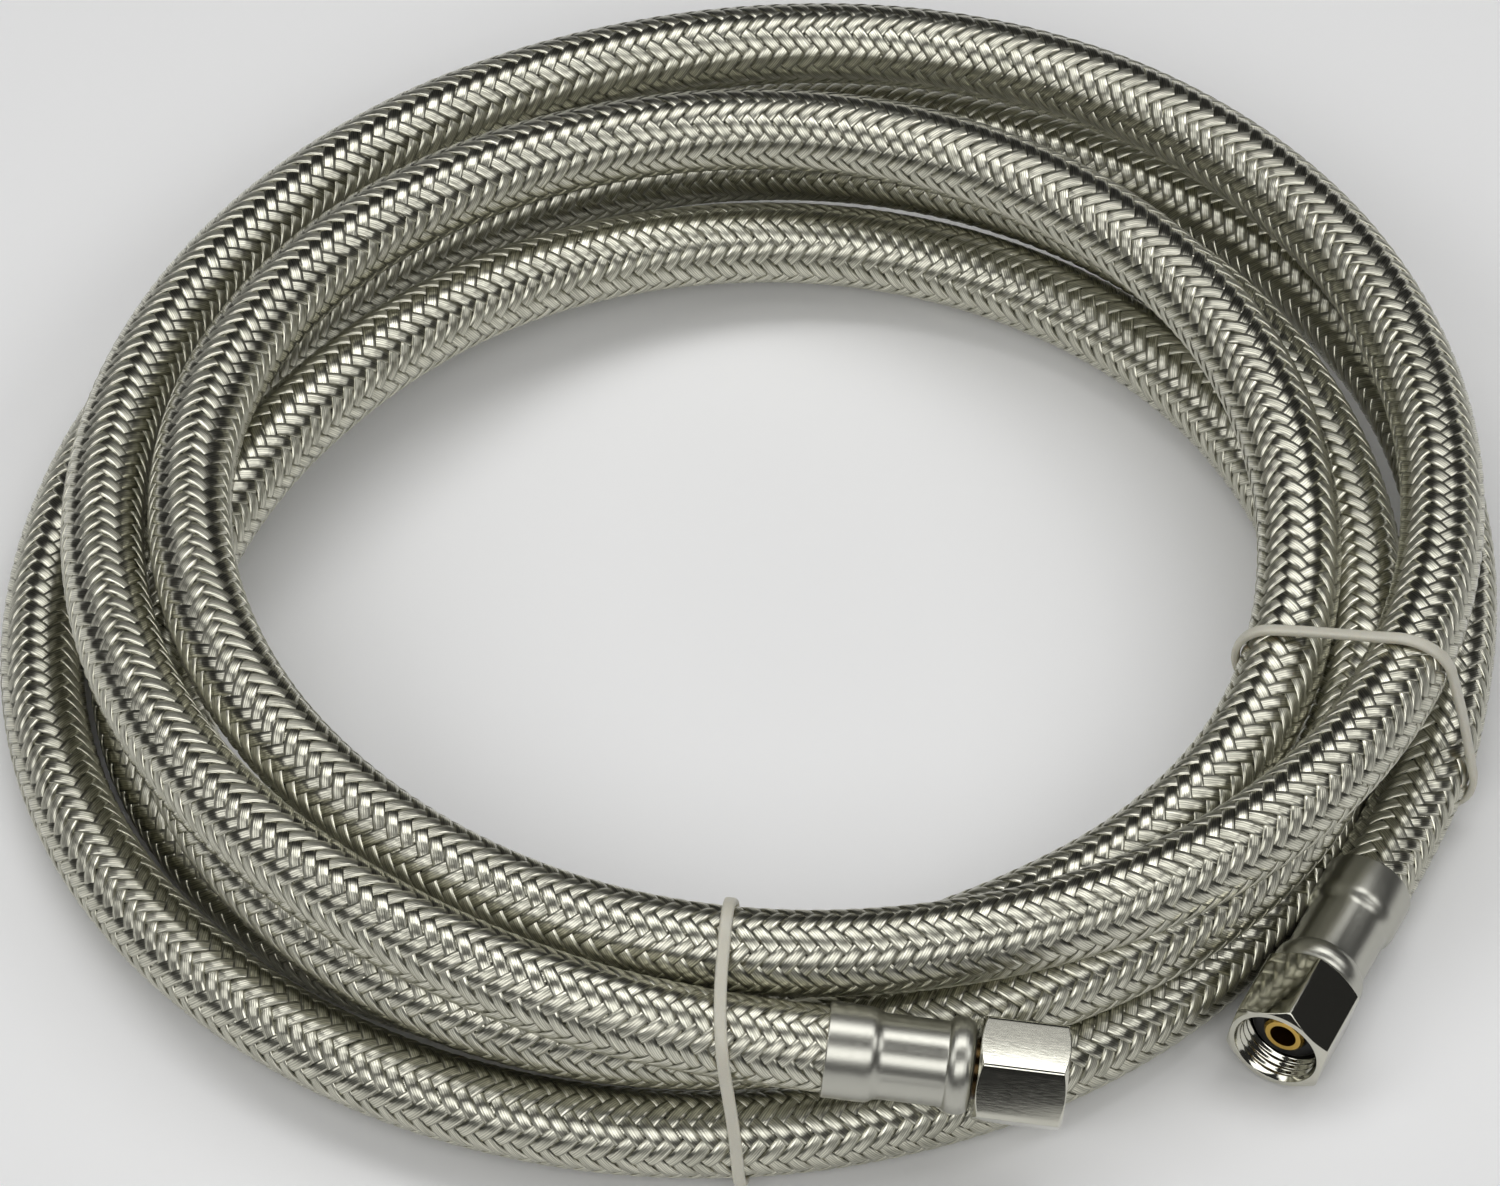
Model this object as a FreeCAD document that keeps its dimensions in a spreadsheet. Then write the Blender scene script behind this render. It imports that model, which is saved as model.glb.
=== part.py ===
import FreeCAD, Part
import math
import os
import Sketcher

# A braided supply line: one hose laid in a loose coil of almost five turns, a crimped
# ferrule and a free-turning nut at each end, and two rubber bands round the coil.
# Millimetres. +Z is up, the coil rests on Z = 0, and the origin is under its middle.

doc = FreeCAD.newDocument("braided_supply_line")
sheet = doc.addObject("Spreadsheet::Sheet", "Sizes")

SIZES = {
    # hose
    "hose_radius": 5.5,
    "liner_radius": 4.9,
    "liner_bore": 3.0,
    "free_length": 12.0,
    # ferrule, outside
    "wide_radius": 6.0,
    "wide_length": 6.2,
    "waist_radius": 5.4,
    "waist_length": 8.9,
    "bead_radius": 6.1,
    "bead_length": 3.4,
    "shoulder_round": 0.5,
    "bead_round": 0.65,
    # ferrule, inside
    "squeeze": 0.6,
    "collar_radius": 4.6,
    "lip_radius": 4.05,
    "lip_length": 0.4,
    # nipple
    "tail_start": 2.5,
    "barb_radius": 3.3,
    "barb_pitch": 2.8,
    "barb_land": 0.5,
    "water_bore": 1.75,
    "neck_radius": 3.95,
    "flange_radius": 4.85,
    "flange_length": 1.4,
    "tip_radius": 2.75,
    "tip_recess": 2.5,
    "tip_chamfer": 0.35,
    # nut
    "nut_flats": 12.7,
    "nut_length": 11.2,
    "nut_gap": 0.4,
    "back_wall": 1.6,
    "back_hole": 4.0,
    "cavity_radius": 5.25,
    "thread_radius": 5.07,
    "mouth_radius": 5.6,
    "mouth_depth": 0.5,
    "chamfer_radius": 6.25,
    "chamfer_width": 1.6,
    "chamfer_drop": 0.92,
    # washer
    "washer_radius": 4.9,
    "washer_depth": 3.4,
    "washer_chamfer": 0.6,
    # bands and the room kept round each fitting
    "band_width": 1.6,
    "band_thick": 1.0,
    "room": 7.9,
}
for row, (word, value) in enumerate(SIZES.items(), start=1):
    sheet.set("A%d" % row, word)
    sheet.set("B%d" % row, str(value))
    sheet.setAlias("B%d" % row, word)
doc.recompute()


def total(words):
    """Sum of named sizes; a leading minus takes one away."""
    amount = 0.0
    for word in words.split():
        if word.startswith("-"):
            amount -= SIZES[word[1:]]
        else:
            amount += SIZES[word]
    return amount


def formula(words):
    """The same sum as a spreadsheet expression."""
    text = ""
    for word in words.split():
        if word.startswith("-"):
            text += " - Sizes." + word[1:]
        else:
            text += " + Sizes." + word
    return text.strip().lstrip("+").strip()


def origin_plane(body, role):
    for feature in body.Origin.OriginFeatures:
        if feature.Role == role:
            return feature
    return None


def profile_sketch(body, name, points):
    """Closed profile on the XZ plane; each point is (radius words, station words)."""
    sketch = body.newObject("Sketcher::SketchObject", name)
    sketch.AttachmentSupport = (origin_plane(body, "XZ_Plane"), [""])
    sketch.MapMode = "FlatFace"
    spots = [FreeCAD.Vector(total(r), total(s), 0) for r, s in points]
    count = len(spots)
    for k in range(count):
        sketch.addGeometry(Part.LineSegment(spots[k], spots[(k + 1) % count]), False)
    for k in range(count):
        sketch.addConstraint(Sketcher.Constraint("Coincident", k, 2, (k + 1) % count, 1))
    for k, (radius_words, station_words) in enumerate(points):
        for kind, words in (("DistanceX", radius_words), ("DistanceY", station_words)):
            if not words:
                axis = -2 if kind == "DistanceX" else -1
                sketch.addConstraint(Sketcher.Constraint("PointOnObject", k, 1, axis))
                continue
            index = sketch.addConstraint(
                Sketcher.Constraint(kind, -1, 1, k, 1, total(words)))
            sketch.renameConstraint(index, "%s%d" % (kind.lower(), k))
            sketch.setExpression("Constraints.%s%d" % (kind.lower(), k), formula(words))
    return sketch


def turned_body(name, points):
    """A body turned about its own Z axis from one closed profile."""
    body = doc.addObject("PartDesign::Body", name)
    body.Label = name
    sketch = profile_sketch(body, name + "_profile", points)
    turn = body.newObject("PartDesign::Revolution", name + "_turn")
    turn.Profile = sketch
    turn.ReferenceAxis = (sketch, ["V_Axis"])
    turn.Angle = 360.0
    sketch.Visibility = False
    doc.recompute()
    return body, turn


def round_edges(body, last, name, size_word, wanted):
    """Rounds every circular edge whose (radius, station) is in wanted."""
    names = []
    for index, edge in enumerate(last.Shape.Edges, start=1):
        if not isinstance(edge.Curve, Part.Circle):
            continue
        for radius, station in wanted:
            if abs(edge.Curve.Radius - radius) < 0.01 and abs(edge.Curve.Center.z - station) < 0.01:
                names.append("Edge%d" % index)
    fillet = body.newObject("PartDesign::Fillet", name)
    fillet.Base = (last, names)
    fillet.Radius = SIZES[size_word]
    fillet.setExpression("Radius", "Sizes." + size_word)
    doc.recompute()
    return fillet


def cut_turned(body, name, points):
    """Takes a turned profile out of a body, and checks that material went."""
    before = body.Shape.Volume
    sketch = profile_sketch(body, name + "_profile", points)
    groove = body.newObject("PartDesign::Groove", name)
    groove.Profile = sketch
    groove.ReferenceAxis = (sketch, ["V_Axis"])
    groove.Angle = 360.0
    sketch.Visibility = False
    doc.recompute()
    if not groove.Shape.Volume < before - 0.1:
        raise ValueError(name + " removed nothing")
    return groove


# Stations along a fitting, from the ferrule's open end (0) to the nut's mouth.
WAIST = "wide_length"
BEAD = "wide_length waist_length"
FERRULE_END = "wide_length waist_length bead_length"
NUT_START = FERRULE_END + " nut_gap"
CAVITY = NUT_START + " back_wall"
FLANGE = CAVITY + " nut_gap"
FLANGE_END = FLANGE + " flange_length"
MOUTH = NUT_START + " nut_length"
TIP_END = MOUTH + " -tip_recess"
WASHER_END = MOUTH + " -washer_depth"
GRIP_END = BEAD + " -lip_length"


def make_ferrule(name):
    body, turn = turned_body(name, [
        ("hose_radius", ""),
        ("wide_radius", ""),
        ("wide_radius", WAIST),
        ("waist_radius", WAIST),
        ("waist_radius", BEAD),
        ("bead_radius", BEAD),
        ("bead_radius", FERRULE_END),
        ("lip_radius", FERRULE_END),
        ("lip_radius", FERRULE_END + " -lip_length"),
        ("collar_radius", FERRULE_END + " -lip_length"),
        ("collar_radius", BEAD),
        ("liner_radius", BEAD),
        ("liner_radius", WAIST + " squeeze"),
        ("hose_radius", WAIST + " -squeeze"),
    ])
    shoulder = round_edges(body, turn, name + "_shoulder", "shoulder_round",
                           [(SIZES["wide_radius"], total(WAIST))])
    round_edges(body, shoulder, name + "_bead", "bead_round",
                [(SIZES["bead_radius"], total(BEAD)), (SIZES["bead_radius"], total(FERRULE_END))])
    return body


def make_nipple(name):
    points = [("water_bore", "tail_start"), ("liner_bore", "tail_start")]
    barbs = 4
    for k in range(barbs):
        foot = "tail_start" + " barb_pitch" * (k + 1)
        points.append(("barb_radius", foot + " -barb_land"))
        points.append(("barb_radius", foot))
        points.append(("liner_bore", foot))
    points += [
        ("liner_bore", BEAD),
        ("collar_radius", BEAD),
        ("collar_radius", FERRULE_END + " -lip_length"),
        ("neck_radius", FERRULE_END + " -lip_length"),
        ("neck_radius", FLANGE),
        ("flange_radius", FLANGE),
        ("flange_radius", FLANGE_END),
        ("tip_radius", FLANGE_END),
        ("tip_radius", TIP_END + " -tip_chamfer"),
        ("tip_radius -tip_chamfer", TIP_END),
        ("water_bore", TIP_END),
    ]
    return turned_body(name, points)[0]


def make_washer(name):
    return turned_body(name, [
        ("tip_radius", FLANGE_END),
        ("washer_radius", FLANGE_END),
        ("washer_radius", WASHER_END + " -washer_chamfer"),
        ("washer_radius -washer_chamfer", WASHER_END),
        ("tip_radius", WASHER_END),
    ])[0]


def make_liner(name):
    return turned_body(name, [
        ("liner_bore", ""),
        ("liner_radius", ""),
        ("liner_radius", WAIST + " -squeeze"),
        ("liner_radius -squeeze", WAIST + " squeeze"),
        ("liner_radius -squeeze", GRIP_END),
        ("liner_bore", GRIP_END),
    ])[0]


def make_braid_end(name):
    return turned_body(name, [
        ("liner_radius", ""),
        ("hose_radius", ""),
        ("hose_radius", WAIST + " -squeeze"),
        ("liner_radius", WAIST + " squeeze"),
        ("liner_radius", GRIP_END),
        ("liner_radius -squeeze", GRIP_END),
        ("liner_radius -squeeze", WAIST + " squeeze"),
        ("liner_radius", WAIST + " -squeeze"),
    ])[0]


def make_nut(name):
    """Six-sided nut: thread at the mouth, a wider room behind it, a wall with a hole."""
    body = doc.addObject("PartDesign::Body", name)
    body.Label = name
    prism = body.newObject("PartDesign::AdditivePrism", name + "_hexagon")
    prism.Polygon = 6
    prism.Circumradius = SIZES["nut_flats"] / math.sqrt(3)
    prism.setExpression("Circumradius", "Sizes.nut_flats / sqrt(3)")
    prism.Height = SIZES["nut_length"]
    prism.setExpression("Height", "Sizes.nut_length")
    prism.AttachmentSupport = (origin_plane(body, "XY_Plane"), [""])
    prism.MapMode = "FlatFace"
    prism.AttachmentOffset = FreeCAD.Placement(
        FreeCAD.Vector(0, 0, total(NUT_START)), FreeCAD.Rotation())
    prism.setExpression("AttachmentOffset.Base.z", formula(NUT_START))
    doc.recompute()
    cut_turned(body, name + "_bore", [
        ("", NUT_START + " -nut_gap"),
        ("back_hole", NUT_START + " -nut_gap"),
        ("back_hole", CAVITY),
        ("cavity_radius", CAVITY),
        ("cavity_radius", TIP_END),
        ("thread_radius", TIP_END),
        ("thread_radius", MOUTH + " -mouth_depth"),
        ("mouth_radius", MOUTH),
        ("mouth_radius", MOUTH + " nut_gap"),
        ("", MOUTH + " nut_gap"),
    ])
    cut_turned(body, name + "_front_chamfer", [
        ("chamfer_radius", MOUTH),
        ("chamfer_radius chamfer_width", MOUTH),
        ("chamfer_radius chamfer_width", MOUTH + " -chamfer_drop"),
    ])
    cut_turned(body, name + "_back_chamfer", [
        ("chamfer_radius", NUT_START),
        ("chamfer_radius chamfer_width", NUT_START + " chamfer_drop"),
        ("chamfer_radius chamfer_width", NUT_START),
    ])
    return body


# The hose's path. Rows are turns, columns are headings 45 degrees apart; the first column
# is heading 330 degrees, seen from above, and the hose runs counter-clockwise from end B.
FIRST_HEADING = 330
STEP = 45
RADII = [
    [92.5, 92.5, 90.0, 87.0, 89.5, 93.5, 90.5, 83.5],
    [81.5, 73.0, 66.5, 61.0, 62.5, 78.0, 82.5, 77.5],
    [82.5, 77.5, 75.0, 75.0, 76.5, 82.0, 75.5, 66.5],
    [72.0, 70.0, 68.0, 69.5, 73.0, 72.0, 70.5, 74.0],
    [86.0, 91.0, 93.5, 89.0, 85.5, 83.5, 83.0, 86.5],
]
HEIGHTS = [
    [6.5, 13.0, 9.0, 6.0, 6.0, 6.0, 9.0, 6.0],
    [6.0, 8.0, 7.5, 11.0, 16.0, 15.5, 18.0, 15.5],
    [17.0, 18.5, 15.0, 11.5, 11.5, 6.0, 7.5, 14.5],
    [21.0, 27.5, 27.0, 24.5, 24.5, 28.5, 27.5, 26.5],
    [27.5, 25.5, 20.5, 18.0, 20.0, 25.0, 29.5, 19.0],
]
# Where the hose would run on to, past each end: (radius, height).
BEFORE = (103.0, 1.0)
AFTER = (108.0, 1.0)
COIL_START = 338
COIL_END = 2068

# Where each ferrule's open end is, which way its fitting points (heading and rise, in
# degrees) and how far its nut is turned. Measured from the middle of the ring.
ENDS = {
    "a": {"at": (9.3, -83.4, 21.5), "heading": -5.0, "rise": -5.0, "turned": 33.0},
    "b": {"at": (79.0, -46.2, 6.3), "heading": -115.5, "rise": 3.2, "turned": 50.0},
}
# Room kept in the coil round each fitting, in multiples of the size "room", along the
# fitting's own X (down) and Y (level): A is open above and outward, B below and outward.
ROOM_CORNERS = {"a": (-3.0, -3.0), "b": (-1.0, -1.0)}
# Headings of the two rubber bands.
BANDS = {"rubber_band_front": 269.0, "rubber_band_right": 342.5}
# The ring's middle, measured from the origin.
RING_X = 0.0
RING_Y = -1.5


def between(values, place):
    """Smooth curve through evenly spaced values (place counts them from the second)."""
    index = min(max(int(math.floor(place)) + 1, 1), len(values) - 3)
    w = place + 1 - index
    a, b, c, d = values[index - 1:index + 3]
    return 0.5 * (2 * b + (c - a) * w + (2 * a - 5 * b + 4 * c - d) * w ** 2
                  + (3 * b - a - 3 * c + d) * w ** 3)


ALL_RADII = [BEFORE[0]] + [r for turn in RADII for r in turn] + [AFTER[0]]
ALL_HEIGHTS = [BEFORE[1]] + [z for turn in HEIGHTS for z in turn] + [AFTER[1]]


def route(heading):
    """Radius and height of the hose's middle at a running heading in degrees."""
    place = (heading - FIRST_HEADING) / STEP
    return between(ALL_RADII, place), between(ALL_HEIGHTS, place)


def passes_at(heading):
    """Every pass of the coiled hose over one heading, as (radius, height)."""
    found = []
    running = heading
    while running <= COIL_END:
        if running >= COIL_START:
            found.append(route(running))
        running += 360
    return found


def outline(heading, grow=0.0):
    """Rounded outline round every pass at a heading: a wire in the upright plane there."""
    passes = passes_at(heading)
    reach = SIZES["hose_radius"]
    low_r = min(r for r, z in passes) - reach - grow
    high_r = max(r for r, z in passes) + reach + grow
    low_z = max(min(z for r, z in passes) - reach - grow, 0.0)
    high_z = max(z for r, z in passes) + reach + grow
    corner = reach + grow
    turn = math.radians(heading)
    flat = []
    centres = [(high_r - corner, low_z + corner, -90), (high_r - corner, high_z - corner, 0),
               (low_r + corner, high_z - corner, 90), (low_r + corner, low_z + corner, 180)]
    for r, z, start in centres:
        for part in (0, 45, 90):
            angle = math.radians(start + part)
            flat.append((r + corner * math.cos(angle), z + corner * math.sin(angle)))
    spots = [FreeCAD.Vector(RING_X + r * math.cos(turn), RING_Y + r * math.sin(turn), z)
             for r, z in flat]
    edges = []
    for k in range(4):
        first, middle, last = spots[3 * k:3 * k + 3]
        edges.append(Part.Arc(first, middle, last).toShape())
        edges.append(Part.LineSegment(last, spots[(3 * k + 3) % 12]).toShape())
    return Part.Wire(edges)


def direction(end):
    heading = math.radians(end["heading"])
    rise = math.radians(end["rise"])
    return FreeCAD.Vector(math.cos(heading) * math.cos(rise),
                          math.sin(heading) * math.cos(rise), math.sin(rise))


def fitting_placement(end, turned=0.0, back=0.0):
    """Puts a fitting's own Z axis along its line, with its station 0 at the ferrule's mouth."""
    turn = (FreeCAD.Rotation(FreeCAD.Vector(0, 0, 1), end["heading"])
            * FreeCAD.Rotation(FreeCAD.Vector(0, 1, 0), 90.0 - end["rise"])
            * FreeCAD.Rotation(FreeCAD.Vector(0, 0, 1), turned))
    x, y, z = end["at"]
    spot = FreeCAD.Vector(RING_X + x, RING_Y + y, z) - direction(end) * back
    return FreeCAD.Placement(spot, turn)


nodes = []
for letter, end in ENDS.items():
    still = [
        make_ferrule("crimp_ferrule_" + letter),
        make_nipple("nipple_" + letter),
        make_washer("sealing_washer_" + letter),
        make_liner("inner_tube_" + letter),
        make_braid_end("braid_end_" + letter),
    ]
    for body in still:
        body.Placement = fitting_placement(end)
        nodes.append(body)
    nut = make_nut("coupling_nut_" + letter)
    nut.Placement = fitting_placement(end, end["turned"])
    nodes.append(nut)
    stub = doc.addObject("Part::Cylinder", "hose_end_" + letter)
    stub.Label = "hose_end_" + letter
    stub.setExpression("Radius", "Sizes.hose_radius")
    stub.setExpression("Height", "Sizes.free_length")
    stub.Placement = fitting_placement(end, back=SIZES["free_length"])
    nodes.append(stub)
doc.recompute()

# The coil: one solid round all the passes, with room left for the two fittings.
SECTIONS = 36
wires = [outline(k * 360.0 / SECTIONS) for k in range(SECTIONS)]
ring = doc.addObject("Part::Feature", "coil_outline")
ring.Shape = Part.makeLoft(wires, True, True, True)
rooms = []
for letter, end in ENDS.items():
    room = doc.addObject("Part::Box", "room_" + letter)
    room.setExpression("Length", "Sizes.room * 4")
    room.setExpression("Width", "Sizes.room * 4")
    room.setExpression("Height", "Sizes.free_length + " + formula(MOUTH) + " + Sizes.room")
    doc.recompute()
    down, level = ROOM_CORNERS[letter]
    corner = FreeCAD.Vector(down * SIZES["room"], level * SIZES["room"], 0)
    base = fitting_placement(end, back=SIZES["free_length"])
    room.Placement = base * FreeCAD.Placement(corner, FreeCAD.Rotation())
    rooms.append(room)
cutters = doc.addObject("Part::MultiFuse", "rooms")
cutters.Shapes = rooms
coil = doc.addObject("Part::Cut", "hose_coil")
coil.Label = "hose_coil"
coil.Base = ring
coil.Tool = cutters
doc.recompute()
nodes.append(coil)

# The two rubber bands, each a thin loop round the whole bundle.
for name, heading in BANDS.items():
    thick = SIZES["band_thick"]
    half = SIZES["band_width"] / 2
    outer = Part.Face(outline(heading, thick))
    inner = Part.Face(outline(heading, 0.001))
    along = FreeCAD.Vector(-math.sin(math.radians(heading)), math.cos(math.radians(heading)), 0)
    loop = outer.cut(inner)
    loop.translate(along * -half)
    band = doc.addObject("Part::Feature", name)
    band.Label = name
    band.Shape = loop.extrude(along * (2 * half))
    nodes.append(band)

doc.recompute()
os.makedirs("parts", exist_ok=True)
for item in doc.Objects:
    if "Invalid" in item.State or "Error" in item.State:
        raise ValueError(item.Name + " has state " + str(item.State))
whole = FreeCAD.BoundBox()
for node in nodes:
    if node.Shape.isNull() or not node.Shape.isValid():
        raise ValueError(node.Label + " has no valid shape")
    whole.add(node.Shape.BoundBox)
    node.Shape.exportStep("parts/%s.step" % node.Label)
    print("%-20s volume %9.1f  z %6.2f to %6.2f  solids %d" % (
        node.Label, node.Shape.Volume, node.Shape.BoundBox.ZMin, node.Shape.BoundBox.ZMax,
        len(node.Shape.Solids)))
print("box", whole)
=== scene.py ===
import math

import bpy
import numpy as np
from mathutils import Matrix, Vector


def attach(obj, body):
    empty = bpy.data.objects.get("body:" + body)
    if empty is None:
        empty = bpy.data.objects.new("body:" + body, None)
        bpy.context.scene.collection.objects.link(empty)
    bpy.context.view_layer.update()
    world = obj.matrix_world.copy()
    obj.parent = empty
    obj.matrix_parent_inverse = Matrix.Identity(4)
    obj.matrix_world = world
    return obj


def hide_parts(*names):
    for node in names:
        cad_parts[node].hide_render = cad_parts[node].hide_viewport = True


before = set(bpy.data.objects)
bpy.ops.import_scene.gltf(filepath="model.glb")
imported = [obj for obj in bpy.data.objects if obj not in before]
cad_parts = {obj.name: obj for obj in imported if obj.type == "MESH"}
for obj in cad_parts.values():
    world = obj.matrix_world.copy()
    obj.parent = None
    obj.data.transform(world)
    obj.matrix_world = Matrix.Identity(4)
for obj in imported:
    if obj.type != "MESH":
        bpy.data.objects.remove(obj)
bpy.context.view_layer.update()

MM = 0.001
WHOLE_TURN = 2 * math.pi

# ---------------------------------------------------------------- layout, in millimetres
HOSE_R = 5.5
# The coil's own centre is this far from the frame's origin.
RING_Y = -1.5
# Straight hose behind each ferrule.
FREE = 12.0
# Where the hose goes into each ferrule, which way the fitting points, how far it tilts up
# and how far its nut is turned.
ENDS = {
    "a": {"at": (9.3, -83.4, 21.5), "heading": -5.0, "rise": -5.0, "turned": 33.0},
    "b": {"at": (79.0, -46.2, 6.3), "heading": -115.5, "rise": 3.2, "turned": 50.0},
}
# The hose's distance from the ring's centre and its height, once every STEP degrees of heading.
FIRST_HEADING = 330
STEP = 45
RADII = [
    [92.5, 92.5, 90.0, 87.0, 89.5, 93.5, 90.5, 83.5],
    [81.5, 73.0, 66.5, 61.0, 62.5, 78.0, 82.5, 77.5],
    [82.5, 77.5, 75.0, 75.0, 76.5, 82.0, 75.5, 66.5],
    [72.0, 70.0, 68.0, 69.5, 73.0, 72.0, 70.5, 74.0],
    [86.0, 91.0, 93.5, 89.0, 85.5, 83.5, 83.0, 86.5],
]
HEIGHTS = [
    [6.5, 13.0, 9.0, 6.0, 6.0, 6.0, 9.0, 6.0],
    [6.0, 8.0, 7.5, 11.0, 16.0, 15.5, 18.0, 15.5],
    [17.0, 18.5, 15.0, 11.5, 11.5, 6.0, 7.5, 14.5],
    [21.0, 27.5, 27.0, 24.5, 24.5, 28.5, 27.5, 26.5],
    [27.5, 25.5, 20.5, 18.0, 20.0, 25.0, 29.5, 19.0],
]
# One (distance, height) more at each end, only to steer the curve.
BEFORE = (103.0, 1.0)
AFTER = (108.0, 1.0)
ALL_RADII = [BEFORE[0]] + [r for turn in RADII for r in turn] + [AFTER[0]]
ALL_HEIGHTS = [BEFORE[1]] + [z for turn in HEIGHTS for z in turn] + [AFTER[1]]

# The hose's line has a point every POINT_STEP degrees from the first of these headings to the last.
LINE_FROM = 345
LINE_TO = 2055
POINT_STEP = 15
# A quadratic spline runs just inside its points, so they stand a little further out.
SPREAD = 1.0 / (0.75 + 0.25 * math.cos(math.radians(POINT_STEP)))
# How far the line goes on inside each ferrule.
INSIDE = 6.0


def between(values, place):
    """Smooth curve through evenly spaced values; place counts them from the second."""
    index = min(max(int(math.floor(place)) + 1, 1), len(values) - 3)
    w = place + 1 - index
    a, b, c, d = values[index - 1:index + 3]
    return 0.5 * (2 * b + (c - a) * w + (2 * a - 5 * b + 4 * c - d) * w ** 2
                  + (3 * b - a - 3 * c + d) * w ** 3)


def ring_point(heading):
    """A point of the hose's line at a running heading, in millimetres."""
    place = (heading - FIRST_HEADING) / STEP
    radius = between(ALL_RADII, place) * SPREAD
    turn = math.radians(heading)
    return Vector((radius * math.cos(turn), RING_Y + radius * math.sin(turn),
                   between(ALL_HEIGHTS, place)))


def end_direction(end):
    heading = math.radians(end["heading"])
    rise = math.radians(end["rise"])
    return Vector((math.cos(heading) * math.cos(rise), math.sin(heading) * math.cos(rise),
                   math.sin(rise)))


def end_spot(end, station=0.0):
    """A point on a fitting's axis; station 0 is where the hose goes into the ferrule."""
    x, y, z = end["at"]
    return Vector((x, y + RING_Y, z)) + end_direction(end) * station


def end_matrix(end, turned=0.0):
    """From a fitting's own frame (Z along it, station 0 at the origin) to metres."""
    turn = (Matrix.Rotation(math.radians(end["heading"]), 4, "Z")
            @ Matrix.Rotation(math.radians(90.0 - end["rise"]), 4, "Y")
            @ Matrix.Rotation(math.radians(turned), 4, "Z"))
    return Matrix.Translation(end_spot(end) * MM) @ turn @ Matrix.Scale(MM, 4)


def add_object(name, data):
    obj = bpy.data.objects.new(name, data)
    bpy.context.scene.collection.objects.link(obj)
    return obj


# ---------------------------------------------------------------- camera
VIEW_DOWN = 50.0
VIEW_AWAY = 1150.0
LOOK_HEIGHT = 10.0

cam_data = bpy.data.cameras.new("Camera")
cam = add_object("Camera", cam_data)
down = math.radians(VIEW_DOWN)
cam.location = Vector((0.0, RING_Y - VIEW_AWAY * math.cos(down),
                       LOOK_HEIGHT + VIEW_AWAY * math.sin(down))) * MM
cam.rotation_euler = (math.radians(90.0 - VIEW_DOWN), 0.0, 0.0)
cam_data.sensor_width = 36.0
cam_data.lens = 210.7
cam_data.clip_start = 0.05
cam_data.clip_end = 20.0
bpy.context.scene.camera = cam

# ---------------------------------------------------------------- the hose's line
SAME_SPOT = 1e-4


def hose_points():
    """The whole line from inside ferrule B to inside ferrule A, in millimetres."""
    b, a = ENDS["b"], ENDS["a"]
    points = [end_spot(b, INSIDE), end_spot(b), end_spot(b, -FREE)]
    for heading in range(LINE_FROM, LINE_TO + 1, POINT_STEP):
        points.append(ring_point(heading))
    return points + [end_spot(a, -FREE), end_spot(a), end_spot(a, INSIDE)]


def nurbs_path(points):
    """Closely spaced points along the NURBS line that the given points steer."""
    curve = bpy.data.curves.new("hose_line", "CURVE")
    curve.dimensions = "3D"
    curve.resolution_u = 12
    spline = curve.splines.new("NURBS")
    spline.points.add(len(points) - 1)
    for point, spot in zip(spline.points, points):
        point.co = (*(spot * MM), 1.0)
    spline.order_u = 3
    spline.use_endpoint_u = True
    holder = add_object("hose_line", curve)
    bpy.context.view_layer.update()
    graph = bpy.context.evaluated_depsgraph_get()
    line_mesh = bpy.data.meshes.new_from_object(holder.evaluated_get(graph))
    found = np.array([v.co for v in line_mesh.vertices]) / MM
    bpy.data.objects.remove(holder)
    bpy.data.meshes.remove(line_mesh)
    return found


def gaps_of(points):
    return np.linalg.norm(np.diff(points, axis=0), axis=1)


path = nurbs_path(hose_points())
path = path[np.concatenate([[True], gaps_of(path) > SAME_SPOT])]
along = np.concatenate([[0.0], np.cumsum(gaps_of(path))])
HOSE_LENGTH = float(along[-1])

# Directions across the hose that don't twist along it.
tangent = np.gradient(path, along, axis=0)
tangent /= np.linalg.norm(tangent, axis=1)[:, None]
normal = np.zeros_like(path)
normal[0] = np.cross(tangent[0], (0.0, 0.0, 1.0))
normal[0] /= np.linalg.norm(normal[0])
for k in range(1, len(path)):
    side = normal[k - 1] - tangent[k] * np.dot(normal[k - 1], tangent[k])
    normal[k] = side / np.linalg.norm(side)
binormal = np.cross(tangent, normal)


def sweep(station, angle, radius):
    """Points on the hose: distance along it, angle round it and distance from its middle."""
    station = np.clip(station, 0.0, HOSE_LENGTH)

    def at(values):
        return np.stack([np.interp(station, along, values[:, k]) for k in range(3)], axis=-1)

    outward = at(normal) * np.cos(angle)[..., None] + at(binormal) * np.sin(angle)[..., None]
    return at(path) + outward * radius[..., None]


# ---------------------------------------------------------------- meshes
def grid_mesh(points, closed_u=False, closed_v=False):
    """Quads and a plain list of vertices from a grid of points (u, v, 3)."""
    nu, nv = points.shape[:2]
    index = np.arange(nu * nv).reshape(nu, nv)
    iu = np.arange(nu if closed_u else nu - 1)
    iv = np.arange(nv if closed_v else nv - 1)
    gu, gv = np.meshgrid(iu, iv, indexing="ij")
    gu1 = (gu + 1) % nu
    gv1 = (gv + 1) % nv
    corners = [index[gu, gv], index[gu1, gv], index[gu1, gv1], index[gu, gv1]]
    return np.stack(corners, axis=-1).reshape(-1, 4), points.reshape(-1, 3)


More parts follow.
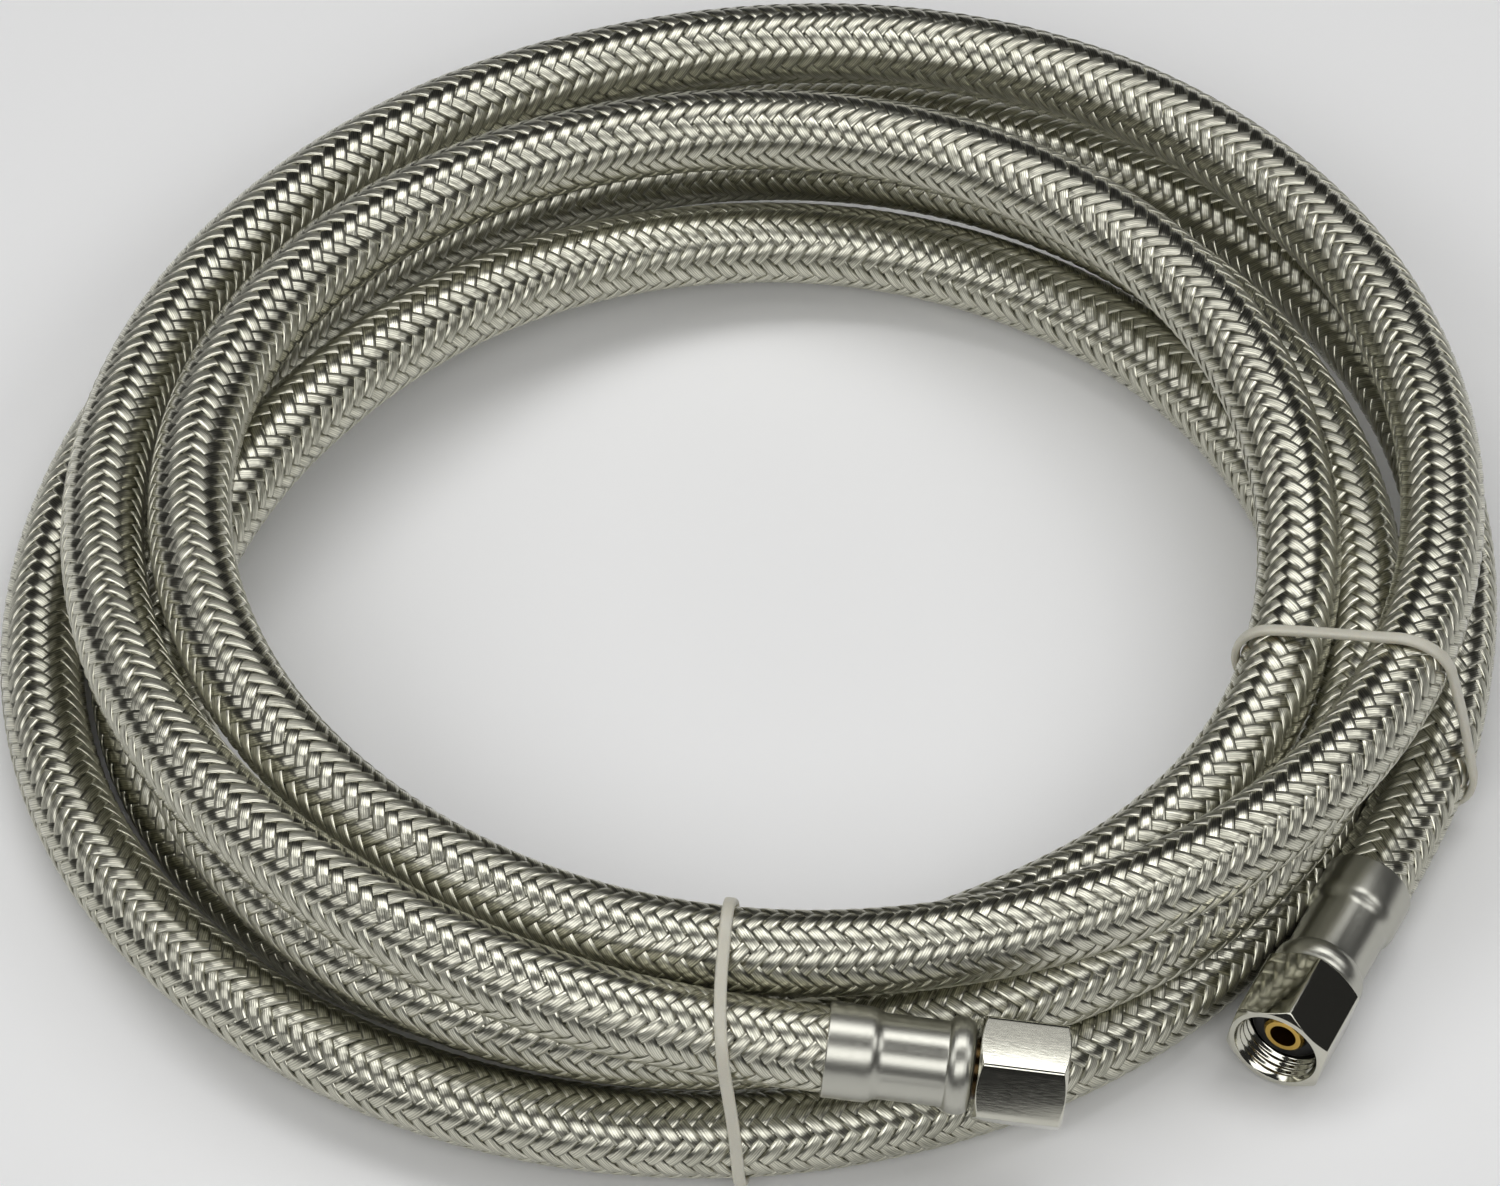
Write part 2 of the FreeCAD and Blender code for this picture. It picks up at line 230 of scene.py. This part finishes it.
def build(name, verts, faces, mat, uvs=None):
    """Smooth object from vertices (millimetres) and quads; uvs is one pair per vertex."""
    mesh = bpy.data.meshes.new(name)
    mesh.vertices.add(len(verts))
    mesh.vertices.foreach_set("co", (np.asarray(verts, dtype=np.float32) * MM).ravel())
    mesh.loops.add(faces.size)
    mesh.loops.foreach_set("vertex_index", faces.ravel().astype(np.int32))
    mesh.polygons.add(len(faces))
    starts = np.arange(0, faces.size, faces.shape[1], dtype=np.int32)
    mesh.polygons.foreach_set("loop_start", starts)
    mesh.update(calc_edges=True)
    if uvs is not None:
        layer = mesh.uv_layers.new(name="along")
        layer.data.foreach_set("uv", np.asarray(uvs, dtype=np.float32)[faces.ravel()].ravel())
    mesh.validate()
    mesh.polygons.foreach_set("use_smooth", np.full(len(mesh.polygons), True))
    obj = add_object(name, mesh)
    mesh.materials.append(mat)
    return obj


# ---------------------------------------------------------------- materials
WIRES = 6


def material(name, **sockets):
    mat = bpy.data.materials.new(name)
    mat.use_nodes = True
    shader = mat.node_tree.nodes["Principled BSDF"]
    for key, value in sockets.items():
        shader.inputs[key.replace("_", " ")].default_value = value
    return mat, mat.node_tree, shader


def node(tree, kind, **values):
    """A new node; in_1=... sets its second input, any other word one of its settings."""
    made = tree.nodes.new(kind)
    for key, value in values.items():
        if key.startswith("in_"):
            made.inputs[int(key[3:])].default_value = value
        else:
            setattr(made, key, value)
    return made


def noise_ramp(tree, scale, colours, places=(0.0, 1.0), detail=2.0, vector=None):
    """Noise and the mix of two colours that a ramp makes of it, as two outputs."""
    noise = node(tree, "ShaderNodeTexNoise")
    noise.inputs["Scale"].default_value = scale
    noise.inputs["Detail"].default_value = detail
    if vector is not None:
        tree.links.new(vector, noise.inputs["Vector"])
    ramp = node(tree, "ShaderNodeValToRGB")
    for element, place, colour in zip(ramp.color_ramp.elements, places, colours):
        element.position = place
        element.color = (*colour, 1)
    tree.links.new(noise.outputs["Fac"], ramp.inputs["Fac"])
    return noise.outputs["Fac"], ramp.outputs["Color"]


def map_range(tree, value, source, target=(0.0, 1.0)):
    """Carries a value from one range to another and holds it inside the second."""
    made = node(tree, "ShaderNodeMapRange")
    for key, number in zip(("From Min", "From Max", "To Min", "To Max"), (*source, *target)):
        made.inputs[key].default_value = number
    tree.links.new(value, made.inputs["Value"])
    return made.outputs["Result"]


def add_bump(tree, shader, height, strength, distance):
    bump = node(tree, "ShaderNodeBump")
    bump.inputs["Strength"].default_value = strength
    bump.inputs["Distance"].default_value = distance
    tree.links.new(height, bump.inputs["Height"])
    tree.links.new(bump.outputs["Normal"], shader.inputs["Normal"])


def stretched(tree, uv, scale):
    """The UVs drawn out or pressed together along each direction."""
    mapping = node(tree, "ShaderNodeMapping")
    mapping.inputs["Scale"].default_value = scale
    tree.links.new(uv.outputs["UV"], mapping.inputs["Vector"])
    return mapping.outputs["Vector"]


def braid_material():
    """Ribbons of fine bright wire laid side by side: U runs across a ribbon, V along it."""
    mat, tree, shader = material("braid_wire", Metallic=1.0, Roughness=0.29, Anisotropic=0.85)
    uv = node(tree, "ShaderNodeUVMap", uv_map="along")
    grain = node(tree, "ShaderNodeTangent", direction_type="UV_MAP", uv_map="along")
    tree.links.new(grain.outputs["Tangent"], shader.inputs["Tangent"])
    split = node(tree, "ShaderNodeSeparateXYZ")
    tree.links.new(uv.outputs["UV"], split.inputs[0])
    wires = node(tree, "ShaderNodeMath", operation="MULTIPLY", in_1=WIRES * WHOLE_TURN)
    tree.links.new(split.outputs["X"], wires.inputs[0])
    wave = node(tree, "ShaderNodeMath", operation="COSINE")
    tree.links.new(wires.outputs[0], wave.inputs[0])
    add_bump(tree, shader, wave.outputs[0], 0.2, 0.00003)
    # Each wire's own brightness, drawn out along the ribbon.
    colour = noise_ramp(tree, 1.0, ((0.42, 0.415, 0.34), (0.84, 0.825, 0.70)), (0.3, 0.7),
                        vector=stretched(tree, uv, (WIRES, 0.25, 1.0)))[1]
    # Painted shade: a dark line in the groove between neighbouring wires.
    wire_groove_shade = map_range(tree, wave.outputs[0], (-1.0, -0.2), (0.6, 1.0))
    shade = node(tree, "ShaderNodeVectorMath", operation="SCALE")
    tree.links.new(colour, shade.inputs[0])
    tree.links.new(wire_groove_shade, shade.inputs["Scale"])
    tree.links.new(shade.outputs["Vector"], shader.inputs["Base Color"])
    return mat


def speckled(name, scale, colours, **sockets):
    """Plain material that varies between two colours."""
    mat, tree, shader = material(name, **sockets)
    colour = noise_ramp(tree, scale, colours)[1]
    tree.links.new(colour, shader.inputs["Base Color"])
    return mat


def metal(name, colour, roughness, grain, stretch, spread):
    """Plated or polished metal with faint drawn-out scratches and slightly uneven gloss."""
    mat, tree, shader = material(name, Metallic=1.0)
    uv = node(tree, "ShaderNodeUVMap", uv_map="along")
    darker = [c * (1.0 - spread) for c in colour]
    noise, mixed = noise_ramp(tree, 1.0, (darker, colour), (0.25, 0.75), 3.0, stretched(tree, uv, stretch))
    gloss = map_range(tree, noise, (0.3, 0.7),
                      (roughness * (1.0 - spread * 3), roughness * (1.0 + spread * 3)))
    tree.links.new(gloss, shader.inputs["Roughness"])
    tree.links.new(mixed, shader.inputs["Base Color"])
    add_bump(tree, shader, noise, grain, 0.00003)
    return mat


def brass_material():
    """Turned brass with painted shade: its colour goes dark where little light gets in, as in the nipple's
    bore.
    """
    mat, tree, shader = material("nipple_brass", Metallic=1.0, Roughness=0.22)
    colour = noise_ramp(tree, 700.0, ((0.46, 0.28, 0.06), (0.80, 0.55, 0.15)))[1]
    # Painted shade: where the occlusion reading is low, the base colour fades to a near-black brown.
    painted_shade_ao = node(tree, "ShaderNodeAmbientOcclusion", samples=16)
    painted_shade_ao.inputs["Distance"].default_value = 0.003
    mix = node(tree, "ShaderNodeMix", data_type="RGBA", in_6=(0.035, 0.022, 0.010, 1))
    tree.links.new(map_range(tree, painted_shade_ao.outputs["AO"], (0.25, 0.6)), mix.inputs[0])
    tree.links.new(colour, mix.inputs[7])
    tree.links.new(mix.outputs[2], shader.inputs["Base Color"])
    return mat


def band_material():
    """Off-white rubber that lets a little light through."""
    mat, tree, shader = material("band_rubber", Roughness=0.42, Subsurface_Weight=0.35,
                                 Subsurface_Radius=(0.0012, 0.0010, 0.0007), Subsurface_Scale=1.0)
    noise, colour = noise_ramp(tree, 450.0, ((0.56, 0.54, 0.45), (0.70, 0.68, 0.59)), (0.3, 0.7), 4.0)
    tree.links.new(colour, shader.inputs["Base Color"])
    add_bump(tree, shader, noise, 0.2, 0.00005)
    return mat


core_mat = speckled("inner_tube_skin", 900.0, ((0.012, 0.011, 0.009), (0.03, 0.028, 0.024)),
                    Metallic=0.0, Roughness=0.6)
braid_mat = braid_material()
nut_mat = metal("nickel_plate", (0.62, 0.61, 0.53), 0.10, 0.08, (4.0, 0.8, 1.0), 0.06)
ferrule_mat = metal("ferrule_steel", (0.51, 0.505, 0.45), 0.33, 0.05, (7.0, 1.2, 1.0), 0.04)
brass_mat = brass_material()
rubber_mat = speckled("washer_rubber", 900.0, ((0.008, 0.008, 0.008), (0.02, 0.02, 0.02)),
                      Roughness=0.5)
band_mat = band_material()

# ---------------------------------------------------------------- hose core
CORE_R = 4.95
CORE_STEP = 2.0
CORE_SIDES = 24
core_stations = np.linspace(0.0, HOSE_LENGTH, int(HOSE_LENGTH / CORE_STEP))
core_angles = np.linspace(0, WHOLE_TURN, CORE_SIDES, endpoint=False)
core_s, core_a = np.meshgrid(core_stations, core_angles, indexing="ij")
core_points = sweep(core_s, core_a, np.full(core_s.shape, CORE_R))
core_faces, core_verts = grid_mesh(core_points, closed_v=True)
core = build("hose_inner_tube", core_verts, core_faces, core_mat)

# ---------------------------------------------------------------- braid
CARRIERS = 12
LEAD = 27.0
RIBBON_W = 1.64
RIBBON_T = 0.22
MIDDLE_R = 5.22
LIFT = 0.17
# The higher, the flatter a ribbon runs over the two that it crosses.
FLATNESS = 1.2
BRAID_PIECES = 6
SAMPLE = 0.5625
# Slow waves along a ribbon: (size, length scale, shift from one ribbon to the next).
WANDER = ((0.05, 17.0, 2.3), (0.04, 5.3, 4.1))
WIDTH_WAVE = (0.03, 23.0, 1.7)
TURN_RATE = WHOLE_TURN / LEAD
SLANT = math.atan(WHOLE_TURN * MIDDLE_R / LEAD)
# Section of a ribbon: (across, thickness) as shares of half width and half thickness.
SECTION = np.array([(-1.0, -1.0), (-1.0, 0.45), (-0.45, 1.0), (0.45, 1.0), (1.0, 0.45), (1.0, -1.0)])
# Ribbons stand this far apart in U, so that each takes its own part of the noise.
UV_APART = 3.0


def weave(x):
    """Over two, under two: +1 round whole numbers 0 and 1 of every four, -1 round 2 and 3."""
    return np.tanh(FLATNESS * np.sin(0.5 * math.pi * (x + 0.5))) / math.tanh(FLATNESS)


def slow_wave(s, number, size, length, shift):
    return size * np.sin(s / length + number * shift)


def ribbon(s, hand, carrier):
    """Quads, vertices and UVs of one ribbon; hand is +1 or -1, the way it winds."""
    number = carrier if hand > 0 else carrier + CARRIERS
    wander = sum(slow_wave(s, number, *wave) for wave in WANDER)
    width = RIBBON_W * (1.0 + slow_wave(s, number, *WIDTH_WAVE))
    across = SECTION[None, :, 0] * 0.5 * width[:, None] + wander[:, None]
    station = s[:, None] - across * math.sin(SLANT)
    angle = (WHOLE_TURN * carrier / CARRIERS + hand * TURN_RATE * s)[:, None] \
        + hand * across * math.cos(SLANT) / MIDDLE_R
    # Which of the other hand's ribbons is being crossed decides over or under.
    crossed = CARRIERS * (angle + hand * TURN_RATE * station) / WHOLE_TURN
    height = hand * weave(crossed + carrier)
    radius = MIDDLE_R + LIFT * height + SECTION[None, :, 1] * 0.5 * RIBBON_T
    quads, verts = grid_mesh(sweep(station, angle, radius), closed_v=True)
    if hand < 0:
        quads = quads[:, ::-1]
    u = (SECTION[:, 0] * 0.5 + 0.5 + number * UV_APART)[None, :] + 0 * s[:, None]
    v = s[:, None] + 0 * SECTION[None, :, 0]
    return quads, verts, np.stack([u, v], axis=-1).reshape(-1, 2)


def braid_piece(piece):
    """All ribbons of one stretch of the hose, as one mesh."""
    first = HOSE_LENGTH * piece / BRAID_PIECES
    last = HOSE_LENGTH * (piece + 1) / BRAID_PIECES
    s = np.linspace(first, last, int(round((last - first) / SAMPLE)) + 1)
    all_verts, all_quads, all_uvs = [], [], []
    base = 0
    for hand in (1, -1):
        for carrier in range(CARRIERS):
            quads, verts, uvs = ribbon(s, hand, carrier)
            all_verts.append(verts)
            all_quads.append(quads + base)
            all_uvs.append(uvs)
            base += len(verts)
    return build("hose_braid_%d" % (piece + 1), np.concatenate(all_verts),
                 np.concatenate(all_quads), braid_mat, np.concatenate(all_uvs))


braid_pieces = [braid_piece(piece) for piece in range(BRAID_PIECES)]

# ---------------------------------------------------------------- turned and six-sided pieces
ROUND = np.linspace(0, WHOLE_TURN, 96, endpoint=False)
# A corner is rounded by at most this share of the edges that meet in it.
EDGE_SHARE = 0.48
# One whole turn round a piece is this long in U.
WRAP = 36.0


def soften(radii, stations, widths):
    """Rounds every corner of a closed profile; radii and stations are (corner, angle)."""
    spots = np.stack([radii, stations], axis=-1)
    rows = []
    for k, width in enumerate(widths):
        here = spots[k]
        if not width:
            rows.append(here)
            continue
        to_back = spots[k - 1] - here
        to_ahead = spots[(k + 1) % len(spots)] - here
        len_back = np.linalg.norm(to_back, axis=-1, keepdims=True)
        len_ahead = np.linalg.norm(to_ahead, axis=-1, keepdims=True)
        cut_back = here + to_back / len_back * np.minimum(width, len_back * EDGE_SHARE)
        cut_ahead = here + to_ahead / len_ahead * np.minimum(width, len_ahead * EDGE_SHARE)
        for w in (0.0, 0.25, 0.5, 0.75, 1.0):
            rows.append(cut_back * (1 - w) ** 2 + here * 2 * w * (1 - w) + cut_ahead * w ** 2)
    return np.array(rows)


def revolve(name, rows, angles, matrix, mat):
    """Closed ring piece from rows of (radius, station) at each angle, put in place."""
    radius, station = rows[..., 0], rows[..., 1]
    points = np.stack([radius * np.cos(angles), radius * np.sin(angles), station], axis=-1)
    faces, flat = grid_mesh(points, closed_u=True, closed_v=True)
    turn = np.array(matrix.to_3x3()) / MM
    flat = flat @ turn.T + np.array(matrix.translation) / MM
    wrap = np.broadcast_to(angles[None, :] / WHOLE_TURN * WRAP, station.shape)
    gaps = np.hypot(np.diff(radius[:, 0]), np.diff(station[:, 0]))
    lengths = np.concatenate([[0], np.cumsum(gaps)])
    run = np.broadcast_to(lengths[:, None], station.shape)
    return build(name, flat, faces, mat, np.stack([wrap, run], axis=-1).reshape(-1, 2))


def ring_rows(profile):
    """Rows for a plain round piece from (radius, station, rounding) corners."""
    radii = np.array([[r] * len(ROUND) for r, s, w in profile])
    stations = np.array([[s] * len(ROUND) for r, s, w in profile])
    return soften(radii, stations, [w for r, s, w in profile])


# The bead next to the nut is a rounded ring: half an ellipse standing on the waist.
BEAD_MIDDLE = 16.7
BEAD_HALF = 1.75
BEAD_FOOT = 5.0
BEAD_RISE = 1.15
BEAD = [
    (BEAD_FOOT + BEAD_RISE * math.sin(math.radians(t)),
     BEAD_MIDDLE - BEAD_HALF * math.cos(math.radians(t)), 0.12)
    for t in range(20, 180, 16)
]
FERRULE = [
    (5.5, 5.4, 0), (5.5, 0.5, 0), (5.62, 0.0, 0.15), (6.0, 0.0, 0.25), (6.0, 5.7, 0.8),
    (5.4, 6.7, 0.7), (5.4, 14.7, 0.3), *BEAD,
    (4.1, 18.5, 0.15), (4.1, 18.15, 0), (4.6, 18.1, 0), (4.6, 15.1, 0), (4.9, 15.0, 0), (4.9, 6.8, 0),
]
# The crimping jaws leave eight shallow flats on the waist, fading out at both ends of it.
CRIMP_FROM = 6.4
CRIMP_TO = 15.0
CRIMP_FADE_IN = 0.8
CRIMP_FADE_OUT = 0.6
CRIMP_DEPTH = 0.09
CRIMP_ROUNDNESS = 0.6
# Only the outside of the sleeve is pressed: what lies further out than this.
CRIMP_OUTSIDE = 5.2


def ferrule(name, end, mat):
    rows = ring_rows(FERRULE)
    waist = (np.clip((rows[..., 1] - CRIMP_FROM) / CRIMP_FADE_IN, 0, 1)
             * np.clip((CRIMP_TO - rows[..., 1]) / CRIMP_FADE_OUT, 0, 1))
    waist = waist * (rows[..., 0] > CRIMP_OUTSIDE)
    flats = np.abs(np.cos(4.0 * ROUND))
    rows[..., 0] -= CRIMP_DEPTH * waist * (1.0 - flats[None, :] ** CRIMP_ROUNDNESS)
    return revolve(name, rows, ROUND, end_matrix(end), mat)


NUT_START = 18.9
NUT_LENGTH = 11.2
MOUTH = NUT_START + NUT_LENGTH
WASHER_FACE = MOUTH - 3.4
WASHER = [(2.76, 22.35, 0), (4.88, 22.35, 0), (4.88, 26.0, 0.3), (4.35, WASHER_FACE, 0.35),
          (3.1, WASHER_FACE, 0.15), (2.78, WASHER_FACE - 0.25, 0.1)]

FLAT_R = 6.35
# The flat ring at each end of the nut; the chamfer starts at its edge.
FACE_R = 6.25
CHAMFER = 30
MOUTH_R = 5.62
CAVITY_R = 5.25
NECK_HOLE_R = 4.0
BACK_WALL = 1.6
SIDES = 6
POINTS_PER_SIDE = 32
# The higher the power, the sharper the corners of the six-sided outline.
CORNER_POWER = 44
CORNER_CROWD = 0.7

PITCH = 25.4 / 24
THREAD_ROOT_R = 5.58
THREAD_DEPTH = 0.5
THREAD_FROM = WASHER_FACE - 0.6
THREAD_TO = MOUTH - 0.42
TOOTH_SLOPE = 2.4
TOOTH_FLAT = 0.1
CONE_START = MOUTH - 0.02


def hexagon():
    """Angles and radius of the nut's rounded six-sided outline, corners at 0, 60, ..."""
    share = np.linspace(0, 1, POINTS_PER_SIDE, endpoint=False)
    # More points near the corners than on the flats.
    eased = share - CORNER_CROWD * np.sin(WHOLE_TURN * share) / WHOLE_TURN
    angles = np.concatenate([(k + eased) * math.pi / 3 for k in range(SIDES)])
    reach = np.zeros_like(angles)
    for k in range(SIDES):
        reach += np.maximum(np.cos(angles - (k + 0.5) * math.pi / 3), 0) ** CORNER_POWER
    return angles, FLAT_R / reach ** (1 / CORNER_POWER)


def thread_rows(angles):
    """The thread inside the mouth, one turn every PITCH, with a small cone at its open end."""
    rows = []
    for station in np.arange(THREAD_FROM, THREAD_TO, PITCH / 10):
        phase = np.mod(station / PITCH - angles / WHOLE_TURN, 1.0)
        tooth = np.clip(TOOTH_SLOPE * np.abs(phase - 0.5) - TOOTH_FLAT, 0, 1)
        mouth_cone = MOUTH_R - (CONE_START - station)
        radius = np.maximum(THREAD_ROOT_R - THREAD_DEPTH * tooth, mouth_cone)
        rows.append(np.stack([radius, station * np.ones_like(angles)], axis=-1))
    return np.array(rows)


def nut(name, end, mat):
    angles, outline = hexagon()
    drop = (outline - FACE_R) * math.tan(math.radians(CHAMFER))
    one = np.ones_like(angles)
    wall = NUT_START + BACK_WALL
    corners = [
        (MOUTH_R * one, MOUTH * one, 0.06),
        (FACE_R * one, MOUTH * one, 0.1),
        (outline, MOUTH - drop, 0.12),
        (outline, NUT_START + drop, 0.12),
        (FACE_R * one, NUT_START * one, 0.1),
        (NECK_HOLE_R * one, NUT_START * one, 0.1),
        (NECK_HOLE_R * one, wall * one, 0.05),
        (CAVITY_R * one, wall * one, 0),
        (CAVITY_R * one, (WASHER_FACE - 0.7) * one, 0),
    ]
    radii, stations, widths = zip(*corners)
    rows = soften(np.array(radii), np.array(stations), widths)
    rows = np.concatenate([rows, thread_rows(angles)])
    return revolve(name, rows, angles, end_matrix(end, end["turned"]), mat)


# What sits at each end of the hose, A's first; A is the far end of the cord.
for letter, end in ENDS.items():
    sleeve = ferrule("ferrule_" + letter, end, ferrule_mat)
    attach(sleeve, "line")
    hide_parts("crimp_ferrule_" + letter)
    cap = nut("nut_shell_" + letter, end, nut_mat)
    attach(cap, "nut_" + letter)
    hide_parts("coupling_nut_" + letter)
    seal = revolve("washer_" + letter, ring_rows(WASHER), ROUND, end_matrix(end), rubber_mat)
    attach(seal, "line")
    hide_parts("sealing_washer_" + letter)
    # The nipple keeps its CAD shape and takes a better material.
    for material_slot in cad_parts["nipple_" + letter].material_slots:
        material_slot.material = brass_mat

# ---------------------------------------------------------------- rubber bands
BAND_W = 1.6
BAND_T = 1.0
# Gap between a band and the hose's own radius.
BAND_GAP = 0.1
BAND_POINTS = 260
BAND_SIDES = 14
CIRCLE_POINTS = 240
BAND_SQUARE = 0.6
BAND_TWIST = 0.16
FLOOR_GAP = 0.02
# lean shifts a band sideways: evenly, by its cosine and by its sine round the bundle.
BANDS = {
    "rubber_band_front": {"heading": 269.0, "lean": (-0.2, -0.6, -1.8), "wave": 0.15},
    "rubber_band_right": {"heading": 342.5, "lean": (-0.8, 0.6, 0.0), "wave": 0.3},
}


def crossings(heading):
    """(radius, height) of the hose's middle each time it passes a heading."""
    turn = math.radians(heading)
    flat = path[:, :2] - (0.0, RING_Y)
    side = -flat[:, 0] * math.sin(turn) + flat[:, 1] * math.cos(turn)
    out = flat[:, 0] * math.cos(turn) + flat[:, 1] * math.sin(turn)
    hits = np.nonzero((side[:-1] * side[1:] <= 0) & (out[:-1] > 0))[0]
    found = []
    for k in hits:
        w = side[k] / (side[k] - side[k + 1])
        found.append((out[k] * (1 - w) + out[k + 1] * w, path[k, 2] * (1 - w) + path[k + 1, 2] * w))
    return found


def half_hull(points):
    """One side of the tight outline round points that are in order."""
    kept = []
    for dot in points:
        while len(kept) > 1 and ((kept[-1][0] - kept[-2][0]) * (dot[1] - kept[-2][1])
                                 - (kept[-1][1] - kept[-2][1]) * (dot[0] - kept[-2][0])) <= 0:
            kept.pop()
        kept.append(dot)
    return kept[:-1]


def taut_loop(circles, radius, count):
    """The tight loop round a set of circles, as evenly spaced (radius, height) points."""
    turn = np.linspace(0, WHOLE_TURN, CIRCLE_POINTS, endpoint=False)
    dots = sorted((r + radius * math.cos(a), z + radius * math.sin(a)) for r, z in circles for a in turn)
    hull = np.array(half_hull(dots) + half_hull(dots[::-1]))
    hull = np.concatenate([hull, hull[:1]])
    run = np.concatenate([[0], np.cumsum(gaps_of(hull))])
    spots = np.linspace(0, run[-1], count, endpoint=False)
    return np.stack([np.interp(spots, run, hull[:, 0]), np.interp(spots, run, hull[:, 1])], axis=-1)


def squarish(wave, size):
    """One coordinate of a rounded square section, from the sine or cosine round it."""
    return np.sign(wave) * np.abs(wave) ** BAND_SQUARE * size / 2


def rubber_band(name, heading, lean, wave):
    loop = taut_loop(crossings(heading), HOSE_R + BAND_GAP + BAND_T / 2, BAND_POINTS)
    middle = loop.mean(axis=0)
    around = np.arctan2(loop[:, 1] - middle[1], loop[:, 0] - middle[0])
    offset = lean[0] + lean[1] * np.cos(around) + lean[2] * np.sin(around) + wave * np.sin(3 * around + 1.0)
    ahead = np.roll(loop, -1, axis=0) - np.roll(loop, 1, axis=0)
    ahead /= np.linalg.norm(ahead, axis=1)[:, None]
    out_r, out_z = ahead[:, 1], -ahead[:, 0]
    section = np.linspace(0, WHOLE_TURN, BAND_SIDES, endpoint=False)
    flat_w = squarish(np.cos(section), BAND_W)
    flat_t = squarish(np.sin(section), BAND_T)
    twist = BAND_TWIST * np.sin(2 * around + 0.6)
    wide = flat_w[None, :] * np.cos(twist)[:, None] - flat_t[None, :] * np.sin(twist)[:, None]
    thick = flat_w[None, :] * np.sin(twist)[:, None] + flat_t[None, :] * np.cos(twist)[:, None]
    r = loop[:, 0, None] + out_r[:, None] * thick
    z = np.maximum(loop[:, 1, None] + out_z[:, None] * thick, FLOOR_GAP)
    side = offset[:, None] + wide
    turn = math.radians(heading)
    points = np.stack([r * math.cos(turn) - side * math.sin(turn),
                       RING_Y + r * math.sin(turn) + side * math.cos(turn), z], axis=-1)
    faces, verts = grid_mesh(points, closed_u=True, closed_v=True)
    obj = build(name + "_loop", verts, faces[:, ::-1], band_mat)
    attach(obj, "line")
    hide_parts(name)


for name, facts in BANDS.items():
    rubber_band(name, facts["heading"], facts["lean"], facts["wave"])

for obj in braid_pieces:
    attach(obj, "line")
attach(core, "line")
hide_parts("hose_coil", "hose_end_a", "hose_end_b")

# ---------------------------------------------------------------- studio
FLOOR_HALF = 3.0
floor_mesh = bpy.data.meshes.new("floor")
floor_mesh.from_pydata([(-FLOOR_HALF, -FLOOR_HALF, 0), (FLOOR_HALF, -FLOOR_HALF, 0),
                        (FLOOR_HALF, FLOOR_HALF, 0), (-FLOOR_HALF, FLOOR_HALF, 0)], [], [(0, 1, 2, 3)])
floor = add_object("floor", floor_mesh)
floor_mat = material("floor_pale", Roughness=0.9, Base_Color=(0.93, 0.93, 0.93, 1),
                     Specular_IOR_Level=0.1)[0]
floor_mesh.materials.append(floor_mat)

world = bpy.data.worlds.new("studio")
bpy.context.scene.world = world
world.use_nodes = True
background = world.node_tree.nodes["Background"]
background.inputs["Color"].default_value = (1.0, 1.0, 1.0, 1)
background.inputs["Strength"].default_value = 0.028

# Each light's azimuth (0 is the camera's side), elevation, distance, width, height and brightness.
LIGHTS = {
    "front": (0, 45, 1.35, 1.5, 0.62, 2.4),
    "top": (0, 104, 1.15, 1.4, 0.46, 2.9),
    "back": (0, 120.5, 1.15, 1.3, 0.2, 0.55),
    "left": (-80, 44, 1.3, 0.6, 0.6, 2.0),
    "right": (80, 46, 1.3, 0.6, 0.5, 2.0),
}


def softbox(name, azimuth, elevation, distance, width, height, radiance):
    """Soft rectangular light that faces the middle of the scene."""
    side = math.radians(azimuth)
    up = math.radians(elevation)
    place = Vector((math.sin(side) * math.cos(up), -math.cos(side) * math.cos(up), math.sin(up))) * distance
    data = bpy.data.lights.new(name, "AREA")
    data.shape = "RECTANGLE"
    data.size = width
    data.size_y = height
    data.energy = radiance * math.pi * width * height
    lamp = add_object(name, data)
    lamp.location = place
    lamp.rotation_euler = (-place).to_track_quat("-Z", "Y").to_euler()


for name, facts in LIGHTS.items():
    softbox(name, *facts)

bpy.context.scene.view_settings.view_transform = "Standard"
